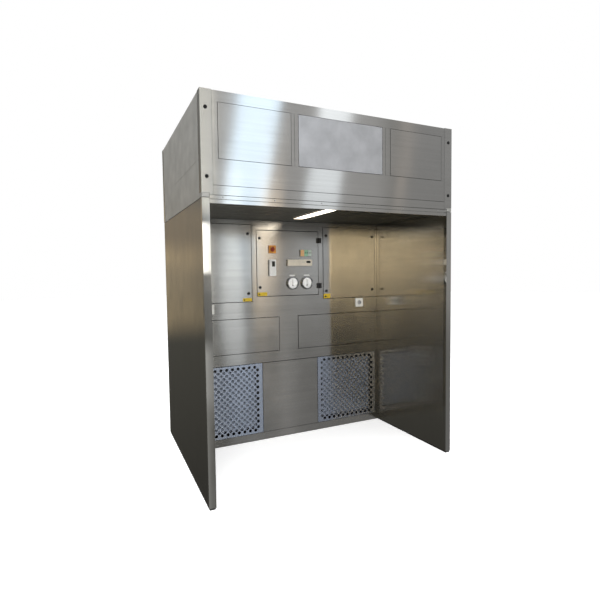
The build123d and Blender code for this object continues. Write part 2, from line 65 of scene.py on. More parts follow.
# What brushing, smudges and hand marks do to a sheet's tone and roughness
DARKEST = 0.62
LIGHTEST = 1.1
BAND_TONE = (-0.035, 0.035)
SMUDGE_TONE = (0.95, 1.03)
TONE_RANGE = (0.55, 1.2)
LINE_ROUGHNESS = 0.004
SMUDGE_ROUGHNESS = (-0.012, 0.022)
HANDLED_ROUGHNESS = (-0.006, 0.012)

# Diagonal wires in front of each filter pad
WIRE_PITCH = 0.0098
WIRE_RELIEF = 0.0012

# Lit cover of the light strip: its brightness, and the stretch of Y where it turns dimmer
LAMP_GLOW = 5.5
DIM_FROM = -0.19
DIM_TO = -0.05

# Edges
FOLD_RADIUS = 0.7 * MM
KEY_EDGE = 0.4 * MM
SHARP_ANGLE = radians(40)

# Gauges: the arc of marks swings this many degrees either way; a mark is its length and half its width
NEEDLE_DROP = 22 * MM
NEEDLE_TO_CARD = 3.6 * MM
MARKS = 21
LONG_MARK_EVERY = 4
SWING = 40
MARK_RADIUS = 56 * MM
LONG_MARK = (7 * MM, 0.7 * MM)
SHORT_MARK = (4 * MM, 0.4 * MM)
INK = 0.3 * MM
GLASS_RADIUS = 50.5 * MM
GLASS_DEPTH = 8 * MM
GLASS_RISE = 4 * MM
GAUGE_LABEL_UP = 72 * MM
GAUGE_LABEL = (58 * MM, 14 * MM)

# Labels, keys and button dots; a label's triangle is a part of its height
LABEL_THICK = 0.6 * MM
TRIANGLE = 0.62
KEY_ROOT = 0.4 * MM
KEY_RISE = 1.2 * MM
DOT_SPREAD = 9 * MM
DOT_RADIUS = 5.6 * MM

# Light of the surroundings from straight down to straight up, by elevation in degrees
SKY = (
    (-90, (0.045, 0.045, 0.040)),
    (-25, (0.050, 0.048, 0.042)),
    (-9, (0.080, 0.077, 0.066)),
    (0, (0.130, 0.125, 0.112)),
    (12, (0.170, 0.166, 0.155)),
    (45, (0.36, 0.36, 0.36)),
    (90, (0.75, 0.76, 0.78)),
)

# Soft patches in the surroundings, as the steel shows them. Each one has its azimuth (from, to, blur),
# its elevation (from, to, blur), its colour and its lean. Degrees; azimuth 0 is in front of the open
# side (-Y) and grows toward +X.
PATCHES = (
    # Seen in the front of the header
    ((13.7, 19.3, 0.3), (5.0, 34.0, 1.5), (1.02, 1.32, 1.62), 0.2),
    ((24.3, 28.7, 0.5), (5.5, 34.0, 1.5), (0.72, 0.79, 0.86), 0.2),
    ((24.3, 28.9, 0.6), (17.0, 34.0, 1.5), (0.38, 0.38, 0.38), 0.2),
    ((36.9, 38.2, 0.3), (7.0, 46.0, 2.0), (0.20, 0.16, 0.13), 0.1),
    ((-14.0, 75.0, 8.0), (-6.0, 60.0, 5.0), (0.11, 0.11, 0.11), 0.0),
    ((13.2, 36.5, 1.2), (7.0, 46.0, 2.0), (0.18, 0.18, 0.19), 0.0),
    ((39.0, 56.0, 2.0), (7.0, 46.0, 2.0), (0.025, 0.028, 0.04), 0.0),
    ((12.2, 14.6, 0.4), (7.6, 46.0, 1.5), (0.78, 0.76, 0.65), 0.0),
    ((13.9, 15.4, 0.5), (8.0, 27.0, 3.0), (0.13, 0.13, 0.13), 0.1),
    # Seen in the face of the rear cabinet
    ((-8.0, 13.7, 0.3), (0.0, 6.3, 0.4), (3.20, 3.12, 2.90), 0.0),
    ((-8.0, 13.4, 0.8), (-40.0, -9.0, 2.0), (0.36, 0.36, 0.35), 0.0),
    ((-8.0, 14.2, 1.0), (-16.5, -9.5, 1.5), (0.20, 0.20, 0.20), 0.0),
    ((15.1, 18.0, 0.45), (-12.0, 9.0, 2.0), (0.47, 0.50, 0.53), 0.0),
    ((15.3, 17.9, 0.4), (-2.0, 9.0, 1.5), (0.34, 0.28, 0.18), 0.0),
    ((15.7, 16.2, 0.1), (-6.0, 9.0, 2.0), (0.16, 0.16, 0.15), 0.0),
    ((17.0, 17.3, 0.1), (-9.0, 9.0, 2.0), (0.16, 0.17, 0.17), 0.0),
    ((19.9, 20.9, 0.5), (-2.0, 9.0, 1.0), (1.20, 0.90, 0.58), 0.1),
    ((19.9, 22.2, 0.8), (-2.2, 9.0, 1.0), (0.48, 0.36, 0.21), 0.1),
    ((20.9, 22.6, 0.4), (2.6, 9.0, 1.0), (0.70, 0.52, 0.33), 0.1),
    ((22.6, 24.6, 0.6), (-30.0, -6.0, 3.0), (0.10, 0.10, 0.10), 0.0),
    ((19.2, 20.1, 0.2), (-6.0, 8.0, 1.5), (0.26, 0.17, 0.05), 0.0),
    ((24.2, 25.7, 0.3), (-2.0, 8.0, 1.0), (0.18, 0.18, 0.17), 0.0),
    ((15.5, 60.0, 1.5), (-50.0, 7.0, 4.0), (0.125, 0.125, 0.13), 0.0),
    # Seen in the inside of the right wall
    ((-34.5, -26.0, 1.0), (-1.3, 6.0, 1.0), (4.30, 3.35, 2.00), 0.0),
    ((-42.0, -34.5, 1.0), (0.4, 5.4, 1.2), (2.95, 2.30, 1.36), 0.0),
    ((-48.0, -26.0, 3.0), (0.0, 9.0, 2.0), (0.15, 0.11, 0.06), 0.0),
    # Seen in the outside of the left wall
    ((-180.0, -168.5, 2.0), (-7.0, 3.0, 2.0), (0.62, 0.46, 0.24), 0.0),
    ((-180.0, -160.0, 6.0), (1.0, 9.0, 2.0), (0.20, 0.135, 0.06), 0.0),
    # Seen from the sides and from behind
    ((60.0, 120.0, 15.0), (-5.0, 40.0, 10.0), (0.60, 0.62, 0.65), 0.0),
    ((98.0, 150.0, 8.0), (-60.0, 50.0, 12.0), (0.26, 0.26, 0.26), 0.0),
    ((-120.0, -70.0, 12.0), (5.0, 45.0, 10.0), (0.5, 0.5, 0.5), 0.0),
    # Overhead
    ((-180.0, 180.0, 0.1), (55.0, 90.0, 12.0), (0.7, 0.7, 0.7), 0.0),
)

# Soft lights: name, place, point aimed at, size in metres and power in watts
SOFTBOXES = (
    ("front_softbox", (-1.5, -5.0, 3.6), (0, 0, 1.3), (4.0, 3.0), 280.0),
    ("left_softbox", (-5.0, 0.5, 4.5), (-1.0, 0, 2.2), (3.0, 3.0), 85.0),
    ("top_softbox", (0, 0, 6.0), (0, 0, 0), (5.0, 5.0), 200.0),
)


# ---------------------------------------------------------------- node helpers

def node(tree, kind, **values):
    """One shader node, with its sockets and properties set by name."""
    made = tree.nodes.new(kind)
    for key, value in values.items():
        if key in made.inputs:
            made.inputs[key].default_value = value
        else:
            setattr(made, key, value)
    return made


def math(tree, operation, a, b=None, c=None):
    """One Math node; arguments are sockets or numbers."""
    made = tree.nodes.new("ShaderNodeMath")
    made.operation = operation
    for i, value in enumerate((a, b, c)):
        if value is None:
            continue
        if isinstance(value, bpy.types.NodeSocket):
            tree.links.new(value, made.inputs[i])
        else:
            made.inputs[i].default_value = value
    return made.outputs[0]


def blend_colour(tree, factor, low, high):
    """Mix two colours; each may be a socket or a tuple."""
    made = tree.nodes.new("ShaderNodeMix")
    made.data_type = "RGBA"
    for index, value in ((0, factor), (6, low), (7, high)):
        if isinstance(value, bpy.types.NodeSocket):
            tree.links.new(value, made.inputs[index])
        elif isinstance(value, tuple):
            made.inputs[index].default_value = (*value, 1)
        else:
            made.inputs[index].default_value = value
    return made.outputs[2]


def ramp(tree, value, low, high):
    """Smooth step from 0 at low to 1 at high."""
    made = tree.nodes.new("ShaderNodeMapRange")
    made.interpolation_type = "SMOOTHSTEP"
    tree.links.new(value, made.inputs["Value"])
    made.inputs["From Min"].default_value = low
    made.inputs["From Max"].default_value = high
    return made.outputs["Result"]


def spread(tree, value, low, high):
    """Spread the middle of a noise value, 0.3 to 0.7, over a range."""
    made = tree.nodes.new("ShaderNodeMapRange")
    tree.links.new(value, made.inputs["Value"])
    made.inputs["From Min"].default_value = 0.3
    made.inputs["From Max"].default_value = 0.7
    made.inputs["To Min"].default_value = low
    made.inputs["To Max"].default_value = high
    return made.outputs["Result"]


def noise(tree, scale, detail=2.0, shift=(0, 0, 0)):
    """Noise in object space. scale is one number, or one for each axis."""
    place = node(tree, "ShaderNodeTexCoord")
    mapping = node(tree, "ShaderNodeMapping")
    mapping.inputs["Scale"].default_value = scale if isinstance(scale, tuple) else (scale,) * 3
    mapping.inputs["Location"].default_value = shift
    tree.links.new(place.outputs["Object"], mapping.inputs["Vector"])
    made = node(tree, "ShaderNodeTexNoise", Scale=1.0, Detail=detail, Roughness=0.55)
    tree.links.new(mapping.outputs["Vector"], made.inputs["Vector"])
    return made.outputs["Fac"]


def bump(tree, height, distance, strength=1.0):
    """Bump from a height socket, with its depth in metres."""
    made = node(tree, "ShaderNodeBump", Distance=distance, Strength=strength)
    tree.links.new(height, made.inputs["Height"])
    return made.outputs["Normal"]


def coordinates(tree, kind="Object"):
    """X, Y and Z of the shaded point, as three sockets."""
    place = node(tree, "ShaderNodeTexCoord")
    split = node(tree, "ShaderNodeSeparateXYZ")
    tree.links.new(place.outputs[kind], split.inputs[0])
    return split.outputs


def shade(colour, factor):
    """A darker or lighter tone of a colour."""
    return tuple(min(1.0, part * factor) for part in colour)


def mottle(tree, pattern, low, high):
    """Two colours mixed by a noise pattern."""
    return blend_colour(tree, spread(tree, pattern, 0, 1), low, high)


def feed(shader, name, source):
    """Link a socket to one of the shader's named inputs."""
    shader.id_data.links.new(source, shader.inputs[name])


def new_material(name):
    """Empty material with one Principled shader."""
    made = bpy.data.materials.new(name)
    made.use_nodes = True
    return made, made.node_tree, made.node_tree.nodes["Principled BSDF"]


# ---------------------------------------------------------------- materials

def brushed(name, grain, stretch, colour=STEEL, rough=0.24, wave=0.0011, film=None,
            coat=PANEL_FILM, seed=0.0):
    """Brushed sheet. grain is the brushing direction; reflections spread along stretch."""
    made, tree, shader = new_material(name)
    axis = "xyz".index(grain)
    fine = [FINE_LINES] * 3
    fine[axis] = ALONG_LINES * 3
    band = [BROAD_BANDS] * 3
    band[axis] = ALONG_LINES * 0.5
    shift = (seed, seed * 1.7, seed * 0.6)
    fine_lines = noise(tree, tuple(fine), 3.0, shift)
    bands = noise(tree, tuple(band), 3.0, shift)
    smudge = noise(tree, 2.6, 4.0, shift)
    handled = noise(tree, 7, 3.0, shift)
    tone = math(tree, "ADD", spread(tree, bands, *BAND_TONE), spread(tree, smudge, *SMUDGE_TONE))
    surface = blend_colour(tree, ramp(tree, tone, *TONE_RANGE), shade(colour, DARKEST),
                           shade(colour, LIGHTEST))
    lines = spread(tree, fine_lines, rough - LINE_ROUGHNESS, rough + LINE_ROUGHNESS)
    roughness = math(tree, "ADD", lines, spread(tree, smudge, *SMUDGE_ROUGHNESS))
    roughness = math(tree, "ADD", roughness, spread(tree, handled, *HANDLED_ROUGHNESS))
    if film is None:
        shader.inputs["Metallic"].default_value = 1.0
    else:
        mask, matt = film(tree)
        clouds = noise(tree, 8, 6.0, shift)
        surface = blend_colour(tree, mask, surface, mottle(tree, clouds, *coat))
        roughness = math(tree, "ADD", roughness, math(tree, "MULTIPLY", mask, matt))
        feed(shader, "Metallic", math(tree, "SUBTRACT", 1.0, math(tree, "MULTIPLY", mask, 0.35)))
    feed(shader, "Base Color", surface)
    feed(shader, "Roughness", roughness)
    shader.inputs["Anisotropic"].default_value = 1.0
    across = node(tree, "ShaderNodeCombineXYZ")
    across.inputs["xyz".index(stretch)].default_value = 1.0
    feed(shader, "Tangent", across.outputs[0])
    swell = noise(tree, (2.1, 2.1, 1.5), 1.0, shift)
    feed(shader, "Normal", bump(tree, swell, wave))
    return made


def centre_panel_film(tree):
    """Protective film left on the middle header panel only: its mask, and how matt it is."""
    from_middle = math(tree, "ABSOLUTE", coordinates(tree)["X"])
    return math(tree, "LESS_THAN", from_middle, FILM_HALF_WIDTH), 0.30


def full_film(tree):
    """Protective film over the whole sheet: its mask, and how matt it is."""
    patches = noise(tree, 1.2, 2.0)
    return ramp(tree, patches, -0.4, 0.1), 0.34


def plastic(name, colour, rough=0.35, grain=0.00004, coat=0.0):
    """Moulded plastic with a fine texture, scuffs and an uneven tone."""
    made, tree, shader = new_material(name)
    clouds = noise(tree, 14, 4.0)
    pits = noise(tree, 900, 2.0)
    scuffs = noise(tree, (60, 220, 60), 3.0)
    dark = shade(colour, 0.86)
    light = shade(colour, 1.04)
    feed(shader, "Base Color", mottle(tree, clouds, dark, light))
    feed(shader, "Roughness", spread(tree, scuffs, rough - 0.05, rough + 0.07))
    feed(shader, "Normal", bump(tree, pits, grain, 0.5))
    shader.inputs["Coat Weight"].default_value = coat
    return made


def rubber(name):
    """Matt black rubber with dust."""
    made, tree, shader = new_material(name)
    dust = noise(tree, (9, 9, 30), 5.0)
    feed(shader, "Base Color", mottle(tree, dust, (0.012, 0.012, 0.012), (0.04, 0.038, 0.035)))
    feed(shader, "Roughness", spread(tree, dust, 0.6, 0.85))
    feed(shader, "Normal", bump(tree, noise(tree, 400), 0.0001, 0.4))
    return made


def galvanised(name, colour=(0.50, 0.52, 0.53), rough=0.42):
    """Zinc-coated sheet with a spangle of crystal patches."""
    made, tree, shader = new_material(name)
    cells = node(tree, "ShaderNodeTexVoronoi", Scale=70.0)
    place = node(tree, "ShaderNodeTexCoord")
    tree.links.new(place.outputs["Object"], cells.inputs["Vector"])
    split = node(tree, "ShaderNodeSeparateColor")
    tree.links.new(cells.outputs["Color"], split.inputs[0])
    dark = shade(colour, 0.78)
    feed(shader, "Base Color", blend_colour(tree, split.outputs[0], dark, colour))
    roughness = math(tree, "MULTIPLY_ADD", split.outputs[1], 0.16, rough - 0.08)
    feed(shader, "Roughness", roughness)
    shader.inputs["Metallic"].default_value = 1.0
    feed(shader, "Normal", bump(tree, cells.outputs["Distance"], 0.0001, 0.3))
    return made


def aluminium(name, colour=(0.66, 0.66, 0.66)):
    """Satin anodised aluminium with drawn lines."""
    made, tree, shader = new_material(name)
    lines = noise(tree, (3, 260, 260), 2.0)
    cloud = noise(tree, 5, 3.0)
    dark = shade(colour, 0.85)
    feed(shader, "Base Color", mottle(tree, cloud, dark, colour))
    feed(shader, "Roughness", spread(tree, lines, 0.30, 0.42))
    shader.inputs["Metallic"].default_value = 1.0
    feed(shader, "Normal", bump(tree, lines, 0.00003, 0.5))
    return made


def dark_screen(name):
    """Dark woven ceiling screen: two crossed sets of fine threads."""
    made, tree, shader = new_material(name)
    weave = [noise(tree, scale, 1.0) for scale in ((900, 30, 30), (30, 900, 30))]
    threads = math(tree, "MAXIMUM", weave[0], weave[1])
    cloud = noise(tree, 1.6, 3.0)
    shade = mottle(tree, threads, (0.25, 0.245, 0.21), (0.42, 0.41, 0.36))
    feed(shader, "Base Color", shade)
    feed(shader, "Roughness", spread(tree, cloud, 0.34, 0.44))
    shader.inputs["Metallic"].default_value = 0.7
    feed(shader, "Normal", bump(tree, threads, 0.0002, 0.4))
    return made


def filter_pad(name):
    """Blue-grey synthetic filter pad behind a fine diagonal wire mesh."""
    made, tree, shader = new_material(name)
    at = coordinates(tree)
    wires = []
    for sign in (1.0, -1.0):
        along = math(tree, "MULTIPLY_ADD", at["Z"], sign, at["X"])
        phase = math(tree, "MULTIPLY", along, 2 * pi / WIRE_PITCH)
        wires.append(ramp(tree, math(tree, "SINE", phase), 0.55, 0.85))
    mesh = math(tree, "MAXIMUM", wires[0], wires[1])
    fibres = noise(tree, 260, 4.0)
    cloud = noise(tree, 7, 3.0)
    felt = mottle(tree, fibres, (0.150, 0.178, 0.225), (0.26, 0.295, 0.355))
    felt = blend_colour(tree, spread(tree, cloud, 0, 0.5), felt, (0.19, 0.22, 0.27))
    feed(shader, "Base Color", blend_colour(tree, mesh, felt, (0.38, 0.42, 0.50)))
    feed(shader, "Roughness", spread(tree, fibres, 0.75, 0.95))
    height = math(tree, "ADD", mesh, math(tree, "MULTIPLY", fibres, 0.6))
    feed(shader, "Normal", bump(tree, height, WIRE_RELIEF, 0.8))
    return made


def filter_paper(name):
    """White pleated glass paper."""
    made, tree, shader = new_material(name)
    fibres = noise(tree, 180, 5.0)
    feed(shader, "Base Color", mottle(tree, fibres, (0.72, 0.72, 0.69), (0.84, 0.84, 0.82)))
    shader.inputs["Roughness"].default_value = 0.9
    feed(shader, "Normal", bump(tree, fibres, 0.0003, 0.5))
    return made


def opal(name, strength):
    """Lit opal diffuser, dimmer at its far end."""
    made, tree, shader = new_material(name)
    cloud = noise(tree, 3, 2.0)
    lit = mottle(tree, cloud, (1.0, 0.86, 0.68), (1.0, 0.93, 0.80))
    far_end = ramp(tree, coordinates(tree)["Y"], DIM_FROM, DIM_TO)
    lit = blend_colour(tree, far_end, lit, (0.34, 0.28, 0.21))
    shader.inputs["Base Color"].default_value = (0.9, 0.9, 0.88, 1)
    shader.inputs["Roughness"].default_value = 0.4
    feed(shader, "Emission Color", lit)
    shader.inputs["Emission Strength"].default_value = strength
    return made


def glass(name):
    """Clear gauge glass."""
    made, tree, shader = new_material(name)
    smear = noise(tree, 40, 3.0)
    shader.inputs["Base Color"].default_value = (1, 1, 1, 1)
    shader.inputs["Transmission Weight"].default_value = 1.0
    shader.inputs["IOR"].default_value = 1.2
    feed(shader, "Roughness", spread(tree, smear, 0.01, 0.05))
    return made


def screen_glass(name):
    """Dark display window with faint smears."""
    made, tree, shader = new_material(name)
    smear = noise(tree, 50, 3.0)
    feed(shader, "Base Color", mottle(tree, smear, (0.012, 0.014, 0.013), (0.03, 0.034, 0.03)))
    feed(shader, "Roughness", spread(tree, smear, 0.08, 0.2))
    return made


def paper_label(name, colour):
    """Card or film label, slightly glossy and uneven."""
    made, tree, shader = new_material(name)
    cloud = noise(tree, 30, 4.0)
    dark = shade(colour, 0.8)
    feed(shader, "Base Color", mottle(tree, cloud, dark, colour))
    feed(shader, "Roughness", spread(tree, cloud, 0.3, 0.5))
    return made


looks = {
    "front": brushed("steel_front", "x", "z", rough=0.12, seed=1.3),
    "panels": brushed("steel_header_panels", "x", "z", rough=0.14, film=centre_panel_film, seed=5.1),
    "header_side": brushed("steel_filmed_side", "z", "y", rough=0.24, film=full_film,
                           coat=SIDE_FILM, seed=2.2),
    "rear": brushed("steel_rear", "x", "z", rough=0.125, seed=7.7),
    "door": brushed("steel_door", "x", "z", rough=0.15, seed=9.4),
    "side_panel": brushed("steel_fan_panel", "x", "z", rough=0.15, seed=12.9),
    "grille": brushed("steel_grille", "x", "z", colour=GRILLE_STEEL, rough=0.26, seed=15.3),
    "wall": brushed("steel_wall", "z", "y", rough=0.16, wave=0.0010, seed=3.6),
    "trim": brushed("steel_trim", "z", "x", rough=0.05, wave=0.0003, seed=4.4),
    "post": brushed("steel_post", "x", "z", rough=0.21, wave=0.0005, seed=6.1),
    "back": brushed("steel_back", "z", "x", rough=0.27, seed=8.2),
    "roof": brushed("steel_roof", "x", "y", rough=0.28, seed=10.5),
    "zinc": galvanised("zinc_sheet"),
    "aluminium": aluminium("anodised_aluminium"),
    "dark_aluminium": aluminium("dark_ceiling_frame", (0.17, 0.17, 0.155)),
    "screen": dark_screen("ceiling_screen"),
    "rubber": rubber("black_rubber"),
    "black": plastic("black_plastic", (0.014, 0.014, 0.015), 0.38),
    "plug": plastic("black_plug", (0.004, 0.004, 0.004), 0.6),
    "grey": plastic("grey_plastic", (0.36, 0.36, 0.35), 0.42),
    "cap": plastic("grey_cap", (0.27, 0.27, 0.255), 0.35),
    "white": plastic("white_plastic", (0.90, 0.90, 0.88), 0.30, coat=0.3),
    "socket_white": plastic("socket_white", (0.78, 0.77, 0.72), 0.30, coat=0.3),
    "beige": plastic("beige_plastic", (0.80, 0.74, 0.63), 0.42),
    "amber": plastic("amber_plastic", (0.86, 0.33, 0.03), 0.30, coat=0.4),
    "button_amber": plastic("button_amber", (0.94, 0.58, 0.28), 0.32, coat=0.3),
    "button_green": plastic("button_green", (0.40, 0.72, 0.52), 0.32, coat=0.3),
    "button_white": plastic("button_white", (0.68, 0.80, 0.75), 0.32, coat=0.3),
    "dot_green": plastic("dot_green", (0.02, 0.10, 0.05), 0.3),
    "dot_grey": plastic("dot_grey", (0.14, 0.17, 0.16), 0.3),
    "red": plastic("red_plastic", (0.36, 0.030, 0.008), 0.34, coat=0.1),
    "window": screen_glass("display_window"),
    "dial": paper_label("dial_card", (0.80, 0.80, 0.78)),
    "ink": paper_label("dial_ink", (0.02, 0.02, 0.02)),
    "bezel": galvanised("gauge_bezel", (0.30, 0.31, 0.32), 0.30),
    "pad": filter_pad("filter_pad"),
    "paper": filter_paper("filter_paper"),
    "lamp": opal("opal_lamp", LAMP_GLOW),
    "glass": glass("gauge_glass"),
    "yellow_label": paper_label("yellow_label", (0.66, 0.46, 0.03)),
    "white_label": paper_label("white_label", (0.78, 0.78, 0.76)),
    "motor": plastic("motor_paint", (0.05, 0.055, 0.06), 0.45),
}

NODE_LOOKS = {
    "left_wall": "wall", "right_wall": "wall", "wall_edge_trims": "trim", "wall_seals": "rubber",
    "header_posts": "post", "corner_caps": "cap", "post_plugs": "plug", "front_fascia": "front",
    "header_panels": "panels", "header_side_skins": "header_side", "roof_panel": "roof",
    "back_panels": "back", "canopy_lip": "front", "lip_screws": "aluminium",
    "ceiling_frame": "dark_aluminium", "diffuser_screens": "screen", "light_housing": "zinc",
    "light_diffuser": "lamp", "absolute_filter_frames": "aluminium", "absolute_filter_media": "paper",
    "face_frame": "rear", "mid_panels": "rear", "low_centre_panel": "rear", "base_plinth": "rear",
    "cabinet_partitions": "zinc", "fan_decks": "zinc", "prefilter_frames": "black",
    "prefilter_media": "pad", "fan_mounts": "zinc", "fan_motors": "motor", "electrical_plate": "zinc",
    "electrical_gear": "grey", "socket_plates": "socket_white", "socket_inserts": "grey",
    "hinge_fixed_leaves": "black", "hinge_door_leaves": "black", "control_door": "door",
    "isolator_plate": "amber", "isolator_knob": "red", "controller_case": "white",
    "display_windows": "window", "button_surround": "grey", "button_amber": "button_amber",
    "button_green": "button_green", "button_white": "button_white", "monitor_case": "beige",
    "gauge_cases": "bezel", "gauge_dials": "dial", "gauge_needle_left": "ink",
    "gauge_needle_right": "ink", "door_lock_lower": "black", "door_lock_upper": "black",
    "fan_panel_left": "side_panel", "fan_panel_right": "side_panel",
    "fan_panel_locks_left": "black", "fan_panel_locks_right": "black",
    "return_grille_left": "grille", "return_grille_right": "grille",
    "fan_wheel_left": "aluminium", "fan_wheel_right": "aluminium",
}

BEVELLED = (
    "wall_edge_trims", "header_posts", "front_fascia", "header_panels", "header_side_skins",
    "canopy_lip", "face_frame", "mid_panels", "low_centre_panel", "control_door",
    "fan_panel_left", "fan_panel_right", "base_plinth", "back_panels", "roof_panel",
)


def dress_nodes():
    """Give every CAD node its material, and folded sheets a small edge radius."""
    for name, look in NODE_LOOKS.items():
        mesh = nodes[name].data
        mesh.materials.clear()
        mesh.materials.append(looks[look])
    for name in BEVELLED:
        edge = nodes[name].modifiers.new("fold", "BEVEL")
        edge.width = FOLD_RADIUS
        edge.segments = 2
        edge.limit_method = "ANGLE"
        edge.angle_limit = SHARP_ANGLE
        edge.harden_normals = True


# ---------------------------------------------------------------- small pieces

def mesh_piece(name, bm, look, body):
    """Turn a bmesh into a piece that rides on a body."""
    mesh = bpy.data.meshes.new(name)
    bmesh.ops.recalc_face_normals(bm, faces=bm.faces)
    bm.to_mesh(mesh)
    bm.free()
    mesh.materials.append(looks[look])
    piece = bpy.data.objects.new(name, mesh)
    bpy.context.scene.collection.objects.link(piece)
    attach(piece, body)
    return piece


def outline_plate(bm, points, y_back, y_front):
    """Closed plate from an outline of (x, z) points, facing -Y."""
    back = [bm.verts.new((x, y_back, z)) for x, z in points]
    front = [bm.verts.new((x, y_front, z)) for x, z in points]
    count = len(points)
    bm.faces.new(back)
    bm.faces.new(list(reversed(front)))
    for i in range(count):
        j = (i + 1) % count
        bm.faces.new((back[i], front[i], front[j], back[j]))


def rounded_outline(x, z, width, height, radius, steps=5):
    """Corner points of a rounded rectangle."""
    points = []
    corners = ((1, 1, 0), (-1, 1, 90), (-1, -1, 180), (1, -1, 270))
    for sx, sz, start in corners:
        cx = x + sx * (width / 2 - radius)
        cz = z + sz * (height / 2 - radius)
        for i in range(steps + 1):
            a = radians(start + 90 * i / steps)
            points.append((cx + radius * cos(a), cz + radius * sin(a)))
    return points


def label(name, body, x, z, width, height, y, look, slot, radius=0.004):
    """Thin blank label with rounded corners, stuck on a face at y."""
    bm = bmesh.new()
    outline_plate(bm, rounded_outline(x, z, width, height, radius), y, y - LABEL_THICK)
    return mesh_piece(name, bm, look, body)


def ring_dome(bm, x, z, radius, y_rim, rise, rings=6, sides=48):
    """Shallow glass dome closed by a flat back."""
    rows = []
    for k in range(rings):
        a = k / (rings - 1) * pi / 2
        r = radius * cos(a)
        y = y_rim - rise * sin(a)
        if k == rings - 1:
            rows.append([bm.verts.new((x, y, z))])
            continue
        row = []
        for i in range(sides):
            t = 2 * pi * i / sides
            row.append(bm.verts.new((x + r * cos(t), y, z + r * sin(t))))
        rows.append(row)
    for low, high in zip(rows, rows[1:]):
        for i in range(sides):
            j = (i + 1) % sides
            if len(high) == 1:
                bm.faces.new((low[i], low[j], high[0]))
            else:
                bm.faces.new((low[i], low[j], high[j], high[i]))
    bm.faces.new(list(reversed(rows[0])))


def middle(name):
    """Centre of a CAD node."""
    low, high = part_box(name)
    return (Vector(low) + Vector(high)) / 2


def gauge_places():
    """Centre x of the left and right gauge, then their height and face plane."""
    low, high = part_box("gauge_cases")
    radius = (high[2] - low[2]) / 2
    return (low[0] + radius, high[0] - radius), (low[2] + high[2]) / 2, low[1]


def scale_marks(bm, x, pivot, card):
    """Arc of marks on the dial card, some of them longer."""
    for i in range(MARKS):
        length, half = SHORT_MARK if i % LONG_MARK_EVERY else LONG_MARK
        angle = radians(-SWING + i * 2 * SWING / (MARKS - 1))
        across = Vector((cos(angle), -sin(angle))) * half
        along = Vector((sin(angle), cos(angle)))
        start = Vector((x, pivot)) + along * MARK_RADIUS
        end = start + along * length
        corners = [start - across, end - across, end + across, start + across]
        outline_plate(bm, [tuple(corner) for corner in corners], card, card - INK)


def gauge_details():
    """Scale marks, glass and blank name label of both gauges."""
    centres, z, face = gauge_places()
    card = middle("gauge_needle_left")[1] + NEEDLE_TO_CARD
    door_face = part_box("control_door")[0][1]
    for side, x in zip(("left", "right"), centres):
        bm = bmesh.new()
        scale_marks(bm, x, z - NEEDLE_DROP, card)
        mesh_piece(f"gauge_scale_{side}", bm, "ink", "control_door")
        bm = bmesh.new()
        ring_dome(bm, x, z, GLASS_RADIUS, face + GLASS_DEPTH, GLASS_RISE)
        mesh_piece(f"gauge_glass_{side}", bm, "glass", "control_door")
        label(f"gauge_label_{side}", "control_door", x, z + GAUGE_LABEL_UP, *GAUGE_LABEL,
              door_face, "white_label", "white_plastic", 2 * MM)


def warning_labels():
    """Plain yellow labels with a dark triangle and no words, at the corners of the service doors."""
    # body, name, its left (0) or right (1) edge, then x from that edge, z from the bottom, and size
    spots = (
        ("control_door", "door", 0, 0.048, 0.019, 0.094, 0.034),
        ("fan_panel_left", "left_panel", 1, -0.044, 0.017, 0.086, 0.030),
        ("fan_panel_right", "right_panel", 0, 0.038, 0.023, 0.074, 0.044),
    )
    for body, name, edge, dx, dz, width, height in spots:
        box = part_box(body)
        face = box[0][1]
        x = box[edge][0] + dx
        z = box[0][2] + dz
        label(f"{name}_yellow_label", body, x, z, width, height, face, "yellow_label", "amber_plastic")
        size = height * TRIANGLE
        apex = x - width / 2 + size * 0.75
        foot = z - size * 0.4
        outer = [(apex - size / 2, foot), (apex + size / 2, foot), (apex, z + size * 0.47)]
        bm = bmesh.new()
        outline_plate(bm, outer, face - LABEL_THICK, face - LABEL_THICK - INK)
        mesh_piece(f"{name}_label_mark", bm, "ink", body)


def keys(name, at, count, step, size, face, look):
    """Block of small raised keys on the control door, from its top left key at (x, z)."""
    bm = bmesh.new()
    width, height = size
    for i in range(count[0]):
        for k in range(count[1]):
            x = at[0] + i * step[0]
            z = at[1] - k * step[1]
            points = rounded_outline(x, z, width, height, height * 0.3, 4)
            outline_plate(bm, points, face + KEY_ROOT, face - KEY_RISE)
    piece = mesh_piece(name, bm, look, "control_door")
    edge = piece.modifiers.new("soft", "BEVEL")
    edge.width = KEY_EDGE
    edge.segments = 2
    edge.limit_method = "ANGLE"


def button_dots(name, look):
    """Two small raised dots on a push button."""
    low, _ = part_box(name)
    x, _, z = middle(name)
    bm = bmesh.new()
    for dx in (-DOT_SPREAD, DOT_SPREAD):
        ring_dome(bm, x + dx, z + 0.002, DOT_RADIUS, low[1] + 0.0002, 0.0012, 4, 24)
    mesh_piece(f"{name}_dots", bm, look, name)


def control_details():
    """Keys of the controller and the monitor, and the dots on two buttons."""
    low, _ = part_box("controller_case")
    keys("controller_keys", (low[0] + 0.018, low[2] + 0.058), (3, 3), (0.016, 0.016),
         (0.010, 0.008), low[1], "white")
    low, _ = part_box("monitor_case")
    keys("monitor_keys", (low[0] + 0.150, middle("monitor_case")[2] + 0.006), (3, 1), (0.013, 0.01),
         (0.008, 0.005), low[1], "grey")
    button_dots("button_green", "dot_green")
    button_dots("button_white", "dot_grey")


# ---------------------------------------------------------------- light, floor, camera

